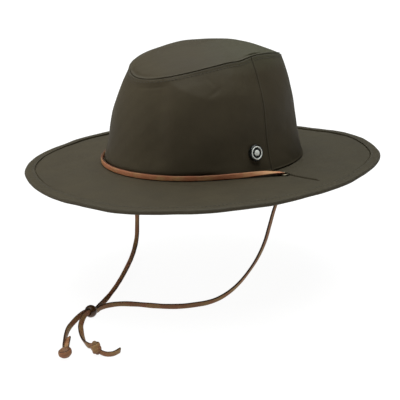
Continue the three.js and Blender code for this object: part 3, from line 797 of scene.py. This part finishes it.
# Rises and dips of the tip seam: the angle in degrees, the half width in radians, the height in mm
SEAM_LIFTS = (
    {"angle": -68, "width": 0.32, "height": -1.5},
    {"angle": 79, "width": 0.11, "height": -1.3},
    {"angle": 93, "width": 0.10, "height": 0.3},
)

TIP_HEIGHT = 111.6 * MM
TIP_SET_BACK = 4.6 * MM
TIP_ROUNDNESS = 2.1
TIP_SAG = 0.9 * MM
TIP_SAG_ANGLE = math.radians(-74)

BRIM_HALF_LENGTH = 175.5 * MM
BRIM_HALF_WIDTH = 157.3 * MM
BRIM_SET_BACK = 0.8 * MM
BRIM_DROOP = 1.25
BRIM_HALF = 1.2 * MM

EDGE_HEIGHT = (-3.7 * MM, (-3.0 * MM, -1.1 * MM, 0.2 * MM, -0.4 * MM), (2.3 * MM, -0.8 * MM, 0.25 * MM))
EDGE_OUTLINE = (1.005, (0, 0, 0, -0.011), (0, -0.0079, 0.0056))
# Small rises and dips of the brim's edge, in the same units as the tip seam's
EDGE_LIFTS = (
    {"angle": -97, "width": 0.15, "height": 1.6},
    {"angle": -72, "width": 0.17, "height": -1.5},
    {"angle": -24, "width": 0.26, "height": 1.7},
    {"angle": 4, "width": 0.24, "height": 1.0},
    {"angle": 32, "width": 0.13, "height": -1.1},
    {"angle": 156, "width": 0.15, "height": 1.2},
)

EYELET_X = 100.8 * MM
EYELET_Y = -2.5 * MM
EYELET_HOLE = 4.2 * MM


def waves(angle, shape):
    """A mean value with waves round the hat: one cosine and sine a turn, then two, and so on."""
    mean, cosines, sines = shape
    total = np.full(np.shape(angle), mean, float)
    for i, size in enumerate(cosines, 1):
        total = total + size * np.cos(i * angle)
    for i, size in enumerate(sines, 1):
        total = total + size * np.sin(i * angle)
    return total


def wrapped(angle):
    """The same angle, between half a turn back and half a turn on."""
    return (angle + np.pi) % (2 * np.pi) - np.pi


def lifts(angle, table):
    turn = wrapped(angle)
    return sum(row["height"] * MM * bump(turn, math.radians(row["angle"]), row["width"]) for row in table)


def top_height(angle):
    even = TOP_HEIGHT - FRONT_DROP * np.cos(angle) - SIDE_RISE * np.cos(2 * angle)
    return even + lifts(angle, SEAM_LIFTS)


def crease_rise(angle):
    falling = 1 - CREASE_FALL * (angle - CREASE_START)
    level = CREASE_LOW - CREASE_LEVEL * np.clip(angle - CREASE_BEND, -1.0, 1.0)
    return 0.5 * (falling + level + np.hypot(falling - level, CREASE_BLEND))


def pinch(angle, rise):
    """How far the crown stands out from its plain form, most along the crease."""
    crease = np.minimum(0.998, crease_rise(angle))
    softness = between(CREASE_SHARP, CREASE_SOFT, smooth(angle, SOFTEN_START, SOFTEN_END))
    below = rise / crease
    above = (1 - rise) / (1 - crease)
    tent = 0.5 * (below + above - np.hypot(below - above, softness))
    reach = np.minimum(1, (1 - crease) / FACET_SHARE) * (1 - smooth(angle, PINCH_END, PINCH_BACK))
    corner = CORNER_REACH * bump(angle, CORNER_ANGLE, CORNER_WIDTH) * np.sin(np.pi * np.clip(rise, 0, 1))
    return PINCH_REACH * reach * np.maximum(0, tent) + corner


def crown_surface(angle, rise):
    """The outside of the crown: rise is 0 at its foot and 1 at the tip seam."""
    pressed = 1 - smooth(np.abs(wrapped(angle)), BAND_LEAVE - 0.1, BAND_LEAVE + 0.16)
    push = FOOT_FLARE * np.maximum(0, 1 - rise / FLARE_SHARE) ** 2 + pinch(angle, rise)
    push = push - BAND_PRESS * pressed * bump(rise, 0.038, 0.036)
    lean = between(np.maximum(0, rise) ** SHOULDER_POWER, rise, LEAN_SHARE)
    half_width = between(CROWN_HALF_WIDTH, TOP_HALF_WIDTH, lean) + push
    half_length = between(CROWN_HALF_LENGTH, TOP_HALF_LENGTH, lean) + push
    x = half_width * np.sin(angle)
    y = TOP_SET_BACK * lean - half_length * np.cos(angle)
    return np.stack(np.broadcast_arrays(x, y, top_height(angle) * rise), -1)


def tip_surface(angle, reach):
    """The outside of the tip: reach is 0 at its middle and 1 at its seam."""
    x = TOP_HALF_WIDTH * np.sin(angle) * reach
    y = between(TIP_SET_BACK, TOP_SET_BACK - TOP_HALF_LENGTH * np.cos(angle), reach)
    fall = (TIP_HEIGHT - top_height(angle)) * np.maximum(0, reach) ** TIP_ROUNDNESS
    sag = TIP_SAG * bump(wrapped(angle), TIP_SAG_ANGLE, 0.6) * bump(reach, 0.84, 0.18)
    return np.stack(np.broadcast_arrays(x, y, TIP_HEIGHT - fall - sag), -1)


def brim_surface(angle, share):
    """The middle of the brim's cloth: share is 0 at the crown and 1 at the edge."""
    outline = waves(angle, EDGE_OUTLINE)
    x = between(CROWN_HALF_WIDTH, BRIM_HALF_WIDTH * outline, share) * np.sin(angle)
    inner_y = -CROWN_HALF_LENGTH * np.cos(angle)
    outer_y = BRIM_SET_BACK - BRIM_HALF_LENGTH * outline * np.cos(angle)
    edge_height = waves(angle, EDGE_HEIGHT) + lifts(angle, EDGE_LIFTS)
    height = edge_height * np.maximum(0, share) ** BRIM_DROOP
    return np.stack(np.broadcast_arrays(x, between(inner_y, outer_y, share), height), -1)


def seam_normal(angle):
    wall = normals(crown_surface, angle, np.full_like(angle, 0.998))
    tip = -normals(tip_surface, angle, np.ones_like(angle))
    return unit(wall + tip)


# Seams: the groove at the seam line, the lip of cloth beside it and the row of stitches
SEAM_DEPTH = 1.1 * MM
SEAM_HALF = 0.5 * MM
LIP_PLACE = 1.1 * MM
LIP_WIDTH = 0.75 * MM
TOPSTITCH = 3.3 * MM
SEAM_PULL = 1.5 * MM

# Soft rolls of cloth along the tip seam: the middle in degrees, how far round in radians, and in
# mm the distance from the seam, the half width and the height
WALL_ROLLS = (
    {"angle": 8, "round": 0.42, "away": 3.6, "width": 2.0, "height": 0.8},
    {"angle": 14, "round": 0.20, "away": 8.2, "width": 1.1, "height": -0.4},
)
TIP_ROLLS = (
    {"angle": -6, "round": 0.40, "away": 3.6, "width": 2.2, "height": -0.7},
    {"angle": 93, "round": 0.12, "away": 3.2, "width": 0.7, "height": -1.0},
    {"angle": 93, "round": 0.12, "away": 4.6, "width": 0.8, "height": 0.3487},
)

# Small folds in the crown's cloth: the angle in degrees and the rise where each starts and ends,
# and its half width and height in mm
CROWN_FOLDS = (
    {"from": (61.0, 0.820), "to": (52.5, 0.760), "width": 1.5, "height": -0.45},
    {"from": (53.5, 0.926), "to": (58.0, 0.844), "width": 1.3, "height": -0.35},
    {"from": (70.0, 0.930), "to": (69.0, 0.770), "width": 2.6, "height": 0.40},
    {"from": (78.0, 0.900), "to": (77.0, 0.780), "width": 1.8, "height": -0.30},
    {"from": (150.0, 0.960), "to": (168.0, 0.800), "width": 3.0, "height": -0.50},
    {"from": (-160.0, 0.940), "to": (-148.0, 0.760), "width": 3.4, "height": 0.55},
    {"from": (-50.0, 0.960), "to": (-62.0, 0.820), "width": 2.6, "height": -0.50},
    {"from": (-96.0, 0.240), "to": (-120.0, 0.160), "width": 3.2, "height": 0.45},
)
# The crown's cloth laid flat: a radius and a height that turn angle and rise into lengths
UNROLLED_RADIUS = 78 * MM
UNROLLED_HEIGHT = 110 * MM


def rolls(angle, away, table):
    total = 0
    for row in table:
        round_it = bump(angle, math.radians(row["angle"]), row["round"])
        total = total + row["height"] * MM * round_it * bump(away, row["away"] * MM, row["width"] * MM)
    return total


def crown_folds(angle, rise):
    total = np.zeros(np.broadcast_shapes(np.shape(angle), np.shape(rise)))
    across, up = angle * UNROLLED_RADIUS, rise * UNROLLED_HEIGHT
    for fold in CROWN_FOLDS:
        ends_at = np.array([fold["from"], fold["to"]]) * (math.radians(1), 1)
        start, end = ends_at * (UNROLLED_RADIUS, UNROLLED_HEIGHT)
        reach = end - start
        along = ((across - start[0]) * reach[0] + (up - start[1]) * reach[1]) / (reach @ reach)
        off = ((across - start[0]) * reach[1] - (up - start[1]) * reach[0]) / np.linalg.norm(reach)
        ends = smooth(along, -0.25, 0.25) * (1 - smooth(along, 0.75, 1.25))
        total = total + fold["height"] * MM * ends * bump(off, 0, fold["width"] * MM)
    return total


def crown_sag(points):
    """Soft unevenness of the crown's cloth, the same on both sides of a seam."""
    return 0.42 * MM * cloth_noise(points, 52 * MM, 21) + 0.10 * MM * cloth_noise(points, 15 * MM, 22)


def crown_panel(name, first, last, node):
    """A side panel of the crown between two seams. Returns what its stitches need."""
    columns, rows = 236, 108
    angle = clustered(first, last, columns, 0.86)[:, None]
    foot = (BRIM_HALF + 0.3 * MM) / top_height(angle)
    rise = between(foot, 1.0, clustered(0, 1, rows, 0.8)[None, :])
    base = crown_surface(angle, rise)
    normal = normals(crown_surface, angle, rise)
    down = run(base[:, ::-1], 1)[:, ::-1]
    up = run(base, 1)
    side = np.minimum(run(base, 0), run(base[::-1], 0)[::-1])
    outward = unit(between(normal, seam_normal(angle), np.exp(-down / SEAM_PULL)[..., None]))
    groove = np.maximum.reduce([bump(down, 0, SEAM_HALF), bump(side, 0, SEAM_HALF), bump(up, 0, SEAM_HALF)])
    lip_top = between(0.25, 0.60, smooth(-angle, -0.5, 0.2)) * MM
    lip = lip_top * bump(down, LIP_PLACE, LIP_WIDTH) + 0.22 * MM * bump(side, LIP_PLACE, LIP_WIDTH)
    lip = lip + 0.3 * MM * bump(up, 1.3 * MM, 0.8 * MM)
    allowance = 0.22 * MM * (1 - smooth(down, TOPSTITCH, TOPSTITCH + 1.4 * MM))
    stitched = 0.25 * MM * bump(down, TOPSTITCH, 0.4 * MM) + 0.10 * MM * bump(side, 2.6 * MM, 0.35 * MM)
    bulge = 0.9 * MM * bump(angle, math.radians(98), 0.13) * bump(rise, 0.86, 0.10)
    soft = bulge + rolls(angle, down, WALL_ROLLS) + crown_folds(angle, rise)
    relief = lip + allowance + soft - stitched
    push = crown_sag(base) + relief - SEAM_DEPTH * groove
    outer = base + outward * push[..., None]
    flat_normal = normal.copy()
    flat_normal[:, 0, 2] = 0
    inner = base - unit(flat_normal) * CLOTH + normal * crown_sag(base)[..., None]
    wear = np.maximum(bump(down, LIP_PLACE, 0.9 * MM), 0.5 * bump(side, LIP_PLACE, 0.8 * MM))
    cloth_wall(name, outer, inner, False, 0.55 * wear, replaced=[node])
    return outer, normal, down


def crown_tip():
    columns, rows = 360, 96
    angle = np.linspace(0, 2 * np.pi, columns, endpoint=False)[:, None]
    reach = 1 - np.linspace(0, 1, rows)[None, :] ** 1.7 * 0.999
    base = tip_surface(angle, reach)
    normal = -normals(tip_surface, angle, reach)
    back = run(base, 1)
    outward = unit(between(normal, seam_normal(angle), np.exp(-back / SEAM_PULL)[..., None]))
    turn = wrapped(angle)
    lip_size = between(0.15, 0.45, smooth(turn, 0.05, 0.45)) * MM
    seam = lip_size * bump(back, LIP_PLACE, LIP_WIDTH) - SEAM_DEPTH * bump(back, 0, SEAM_HALF)
    push = crown_sag(base) + seam + rolls(turn, back, TIP_ROLLS)
    outer = base + outward * push[..., None]
    inner = base + normal * (crown_sag(base) - CLOTH)[..., None]
    wear = 0.5 * bump(back, LIP_PLACE, 0.8 * MM)
    cloth_wall("crown_tip_cloth", outer[::-1], inner[::-1], True, wear[::-1], replaced=["crown_tip"])


# Brim

# The hem's tunnel, from the edge inwards, and the rows of points across it in mm from the edge
HEM_WIDTH = 9.3 * MM
HEM_HALF = 1.85 * MM
HEM_BEHIND = 0.9 * MM
HEM_ROUND = 1.7 * MM
HEM_ROWS = [0, 0.05, 0.15, 0.3, 0.5, 0.8, 1.2, 1.7, 2.4, 3.4, 4.6, 5.8, 6.7, 7.2, 7.5, 7.8, 8.1, 8.5]
HEM_ROWS += [8.9, 9.15, 9.3, 9.4, 9.5, 9.6, 9.75, 9.95, 10.2, 10.6, 11.2, 12.2, 13.6]
HEM_STITCH = 7.5 * MM
HEM_GROOVE = 1.05 * MM
HEM_PILLOW = 0.16 * MM
ROPING_HEIGHT = 0.09 * MM
ROPING_PITCH = 6.5 * MM
# The far side, where the hem stands taller
FAR_SIDE = math.radians(224)
DART_START = (86.0 * MM, -1.2 * MM)
DART_END = (137.6 * MM, 4.0 * MM)
DART_FOLD = 1.1 * MM
DART_GROOVE = 0.6 * MM


def dart_relief(points):
    """The stitched dart beside each eyelet: a fold with a steep front that fades out across the brim."""
    start, end = np.array(DART_START), np.array(DART_END)
    length = np.linalg.norm(end - start)
    heading = (end - start) / length
    flat = np.stack([np.abs(points[..., 0]), points[..., 1]], -1) - start
    along = flat @ heading
    off = flat @ np.array([-heading[1], heading[0]])
    strength = smooth(along, -2 * MM, 1 * MM) * (1 - smooth(along, length - 5 * MM, length))
    fold = DART_FOLD * smooth(off, -0.15 * MM, 0.25 * MM) * bump(np.maximum(0, off), 0, 2.6 * MM)
    return strength * (fold - DART_GROOVE * bump(off, -0.35 * MM, 0.45 * MM))


def brim():
    """The brim, with its columns crowded round the eyelets. Returns what its stitches need."""
    columns = 780
    fine = np.linspace(-np.pi, np.pi, 20001)
    at_eyelets = bump(np.abs(fine), math.radians(90.5), 0.030)
    crowding = 1 + 0.7 * np.cos(2 * fine) ** 2 + 9 * at_eyelets
    passed = np.concatenate([[0], np.cumsum(0.5 * (crowding[1:] + crowding[:-1]))])
    angle = np.interp(np.linspace(1, 0, columns, endpoint=False), passed / passed[-1], fine)[:, None]
    depth = np.linalg.norm(brim_surface(angle, 1.0) - brim_surface(angle, 0.0), axis=-1)
    hem = np.array(HEM_ROWS) * MM
    hem_shares = 1 - hem[None, ::-1] / depth
    flat_rows = 30
    flat_shares = hem_shares[:, :1] * clustered(0, 1, flat_rows + 1, 0.55)[None, :-1]
    share = np.concatenate([flat_shares, hem_shares], 1)
    inset = (1 - share) * depth
    base = brim_surface(angle, share)
    along_edge = run(base, 0)[:, -1:]
    pillow = HEM_PILLOW * np.sin(np.pi * np.clip(inset / HEM_WIDTH, 0, 1))
    roping = ROPING_HEIGHT * np.sin(2 * np.pi * (along_edge + 0.7 * inset) / ROPING_PITCH)
    edge_round = np.sqrt(np.clip(1 - (1 - np.clip(inset / HEM_ROUND, 0, 1)) ** 2, 0, 1))
    in_hem = 1 - smooth(inset, HEM_WIDTH, HEM_WIDTH + 0.45 * MM)
    behind = smooth(np.cos(angle - FAR_SIDE), 0.1, 0.6)
    standing = HEM_HALF + HEM_BEHIND * behind
    hem_half = (standing + pillow + roping * (1 - bump(inset, 0, 3 * MM))) * edge_round
    half = between(BRIM_HALF, hem_half, in_hem)
    half = half - (HEM_GROOVE + 0.3 * MM * behind) * bump(inset, HEM_WIDTH + 0.5 * MM, 0.36 * MM)
    half = half - 0.16 * MM * bump(inset, HEM_STITCH, 0.35 * MM)
    half = np.maximum(half, 0.02 * MM)
    sag = 0.5 * MM * cloth_noise(base, 70 * MM, 31) + 0.12 * MM * cloth_noise(base, 22 * MM, 32)
    sag = sag * smooth(share, 0.02, 0.4)
    top, bottom = base.copy(), base.copy()
    top[..., 2] += half + sag + dart_relief(base)
    bottom[..., 2] += sag - half
    pair = base + np.roll(base, -1, 0)
    cell = (pair[:, :-1] + pair[:, 1:]) / 4
    kept = np.hypot(np.abs(cell[..., 0]) - EYELET_X, cell[..., 1] - EYELET_Y) > EYELET_HOLE
    wear = np.maximum(bump(inset, 0.6 * MM, 1.2 * MM), 0.6 * bump(inset, HEM_WIDTH - 0.5 * MM, 0.7 * MM))
    cloth_wall("brim_cloth", top, bottom, True, 0.5 * wear, kept=kept, replaced=["brim"])
    return top, bottom, inset


crown_front = crown_panel("crown_front_cloth", -SIDE_SEAM, SIDE_SEAM, "crown_front")
crown_back = crown_panel("crown_back_cloth", SIDE_SEAM, 2 * math.pi - SIDE_SEAM, "crown_back")
crown_tip()
brim_sheets = brim()


# Hat band: the lace stands on its edge round the front, then turns flat and dips into each eyelet

BAND_HALF_WIDTH = 87.9 * MM
BAND_HALF_LENGTH = 104.9 * MM
# From where it leaves the crown to the eyelet: the share of the way, the tilt in degrees, the lift in mm
BAND_TAIL = (
    {"share": 0.20, "tilt": 8, "lift": 0.0},
    {"share": 0.40, "tilt": 22, "lift": 0.1},
    {"share": 0.60, "tilt": 40, "lift": 0.2},
    {"share": 0.76, "tilt": 62, "lift": 0.0},
    {"share": 0.88, "tilt": 82, "lift": -0.5},
)


def make_band():
    standing = BRIM_HALF + 0.3 * MM + LACE_WIDTH / 2
    rows = []
    for angle in np.linspace(-BAND_LEAVE, BAND_LEAVE, 17):
        place = (BAND_HALF_WIDTH * math.sin(angle), -BAND_HALF_LENGTH * math.cos(angle), standing)
        rows.append((place, (0, 0, 1)))
    leave_x = BAND_HALF_WIDTH * math.sin(BAND_LEAVE)
    leave_y = -BAND_HALF_LENGTH * math.cos(BAND_LEAVE)
    tail = []
    for row in BAND_TAIL:
        bow = 1.0 * MM * math.sin(math.pi * row["share"])
        x = between(leave_x, EYELET_X, row["share"]) + bow
        y = between(leave_y, EYELET_Y - 2 * MM, row["share"]) - bow / 2
        lean = math.radians(row["tilt"])
        tail.append(((x, y, standing + row["lift"] * MM), (-math.sin(lean), 0, math.cos(lean))))
    for before, height in ((3.4, 2.9), (1.3, 1.9), (0.4, -0.4)):
        tail.append(((EYELET_X, EYELET_Y - before * MM, height * MM), (-1, 0, 0)))
    mirrored = [((-x, y, z), (-a, b, c)) for (x, y, z), (a, b, c) in reversed(tail)]
    band, _ = lace_part(mirrored + rows + tail, 15)
    put(leather_object("band_lace", [band], 1.0), ["hat_band"])


make_band()


# Eyelets and badge

def brim_under(x, y):
    """The height of the brim's middle at a place, and its direction upwards."""
    angle = math.atan2(x / BRIM_HALF_WIDTH, -y / BRIM_HALF_LENGTH)
    inner = brim_surface(angle, 0.0)
    outer = brim_surface(angle, 1.0)
    share = math.hypot(x - inner[0], y - inner[1]) / np.linalg.norm(outer - inner)
    normal = -normals(brim_surface, np.array(angle), np.array(share))
    return float(brim_surface(angle, share)[2]), normal


def make_eyelets():
    seat = 1.35
    below = [(3.1, -seat - 0.7), (5.0, -seat - 0.6), (5.1, -seat), (3.7, -seat)]
    above = [(3.7, seat), (5.35, seat), (5.2, seat + 0.55), (4.3, seat + 1.0), (3.5, seat + 0.75)]
    section = rounded(below + above + [(3.1, seat)], 0.3)
    for side, name in ((1, "left"), (-1, "right")):
        height, normal = brim_under(side * EYELET_X, EYELET_Y)
        place = (side * EYELET_X, EYELET_Y, height)
        turned(f"eyelet_ring_{name}", section, 64, place, normal, BRASS, [f"eyelet_{name}"])


BADGE_ANGLE = math.radians(78.3)
BADGE_RISE = 0.206
# In millimetres
STUD_RADIUS = 2.6


def make_badge():
    angle, rise = np.array(BADGE_ANGLE), np.array(BADGE_RISE)
    normal = normals(crown_surface, angle, rise)
    seat = crown_surface(angle, rise) + normal * 0.3 * MM
    rim = [(0.02, 0), (7.4, 0), (7.5, 0.8), (7.3, 2.7), (6.9, 3.1), (6.2, 3.1), (6.1, 2.6), (4.9, 2.6)]
    cap = rounded(rim + [(4.8, 2.9), (2.8, 2.9), (2.7, 2.6), (0.02, 2.6)], 0.16)
    ring = rounded([(4.95, 2.5), (6.05, 2.5), (6.05, 3.3), (5.5, 3.6), (4.95, 3.3)], 0.22)
    dome = [(0.02, 2.5), (STUD_RADIUS, 2.5)] + [
        (STUD_RADIUS * math.cos(a), 3.2 + 0.6 * math.sin(a)) for a in np.linspace(0, math.pi / 2 - 0.01, 12)
    ]
    turned("badge_cap", cap, 72, seat, normal, ENAMEL, ["badge_base"])
    turned("badge_rim", ring, 72, seat, normal, SILVER, ["badge_ring"])
    turned("badge_stud", dome, 48, seat, normal, SILVER, ["badge_dot"])


make_eyelets()
make_badge()


# Stitches: short threads laid along a line of places

STITCH_STEP = 3.4 * MM
STITCH_LENGTH = 2.5 * MM
THREAD_RADIUS = 0.24 * MM
THREAD_SINK = 0.28 * MM
THREAD_LIFT = 0.10 * MM


def stitch_row(name, line, outward, closed):
    """One joined mesh of thread stitches along a line that lies in the cloth."""
    if closed:
        line = np.vstack([line, line[:1]])
        outward = np.vstack([outward, outward[:1]])
    travelled = run(line, 0)
    count = int(travelled[-1] / STITCH_STEP)
    middle = (np.arange(count) + 0.5) * travelled[-1] / count

    def at(distance, values):
        return np.stack([np.interp(distance, travelled, values[:, k]) for k in range(3)], 1)

    place = at(middle, line)
    heading = unit(at(middle + 0.4 * MM, line) - place)
    up = unit(at(middle, outward))
    across = np.cross(heading, up)
    sides, rings = 6, 7
    turn = np.linspace(0, 2 * np.pi, sides, endpoint=False)
    share = np.linspace(-1, 1, rings)
    girth = THREAD_RADIUS * np.maximum(0.12, 1 - share ** 6)
    sink = -THREAD_SINK * share ** 4
    along = share * STITCH_LENGTH / 2
    points = (
        place[:, None, None]
        + heading[:, None, None] * along[None, :, None, None]
        + across[:, None, None] * (girth[:, None] * np.cos(turn))[None, ..., None]
        + up[:, None, None] * (girth[:, None] * np.sin(turn) + sink[:, None])[None, ..., None]
    )
    quads, ends, _, _ = tube_faces(rings, sides)
    shift = (np.arange(count) * rings * sides)[:, None, None]
    faces = [(quads[None] + shift).reshape(-1, 4), (ends[None] + shift).reshape(-1, sides)]
    put(mesh_object(name, points.reshape(-1, 3), faces, THREAD))


def make_stitches():
    for name, (outer, normal, down) in (("front", crown_front), ("back", crown_back)):
        row = np.argmin(np.abs(down[len(down) // 2] - TOPSTITCH))
        inside = slice(14, -14)
        line = outer[inside, row] + normal[inside, row] * THREAD_LIFT
        stitch_row(f"tip_stitches_{name}", line, normal[inside, row], False)
    top, bottom, inset = brim_sheets
    row = np.argmin(np.abs(inset[0] - HEM_STITCH))
    up = np.broadcast_to(np.array([0.0, 0.0, 1.0]), top[:, row].shape)
    stitch_row("hem_stitches_top", top[:, row] + up * THREAD_LIFT, up, True)
    stitch_row("hem_stitches_under", bottom[:, row] - up * THREAD_LIFT, -up, True)


make_stitches()


# Floor, light and view

FLOOR_REACH = 30.0
# Broad suns: the way to each, its strength, how broad it is in degrees, and its colour
SUNS = (
    {"name": "overhead", "way": (0.0, 0.0, 1.0), "energy": 2.85, "broad": 60, "tint": (0.97, 1.0, 0.98)},
    {"name": "back", "way": (-0.35, 0.36, 1.0), "energy": 1.35, "broad": 60, "tint": (0.93, 1.0, 1.0)},
    {"name": "left", "way": (-0.716, -0.697, 0.25), "energy": 1.15, "broad": 40.2, "tint": (1, 0.95, 0.82)},
)


def make_floor():
    n = Nodes("pale_floor")
    grain = n.noise(n.places(), 40 * MM, 2)
    n.set(
        Base_Color=n.ramp(grain, (0.3, (0.10, 0.10, 0.10)), (0.7, (0.12, 0.12, 0.12))),
        Roughness=0.9,
        Emission_Color=(1, 1, 1),
        Emission_Strength=0.95,
    )
    level = TABLE - 0.1 * MM
    points = FLOOR_REACH * np.array([(-1, -1, 0), (1, -1, 0), (1, 1, 0), (-1, 1, 0)]) + (0, 0, level)
    floor = mesh_object("floor", points, [np.array([[0, 1, 2, 3]])], n.material)
    bpy.context.scene.collection.objects.link(floor)


def make_light():
    for sun in SUNS:
        light = bpy.data.lights.new(sun["name"], "SUN")
        light.energy = sun["energy"]
        light.angle = math.radians(sun["broad"])
        light.color = sun["tint"]
        obj = bpy.data.objects.new(sun["name"], light)
        bpy.context.scene.collection.objects.link(obj)
        look_at(obj, sun["way"], (0, 0, 0))
    world = bpy.data.worlds.new("studio")
    world.use_nodes = True
    background = world.node_tree.nodes["Background"].inputs
    background["Color"].default_value = (1, 1, 1, 1)
    background["Strength"].default_value = 0.02
    bpy.context.scene.world = world
    bpy.context.scene.view_settings.view_transform = "Standard"


make_floor()
make_light()
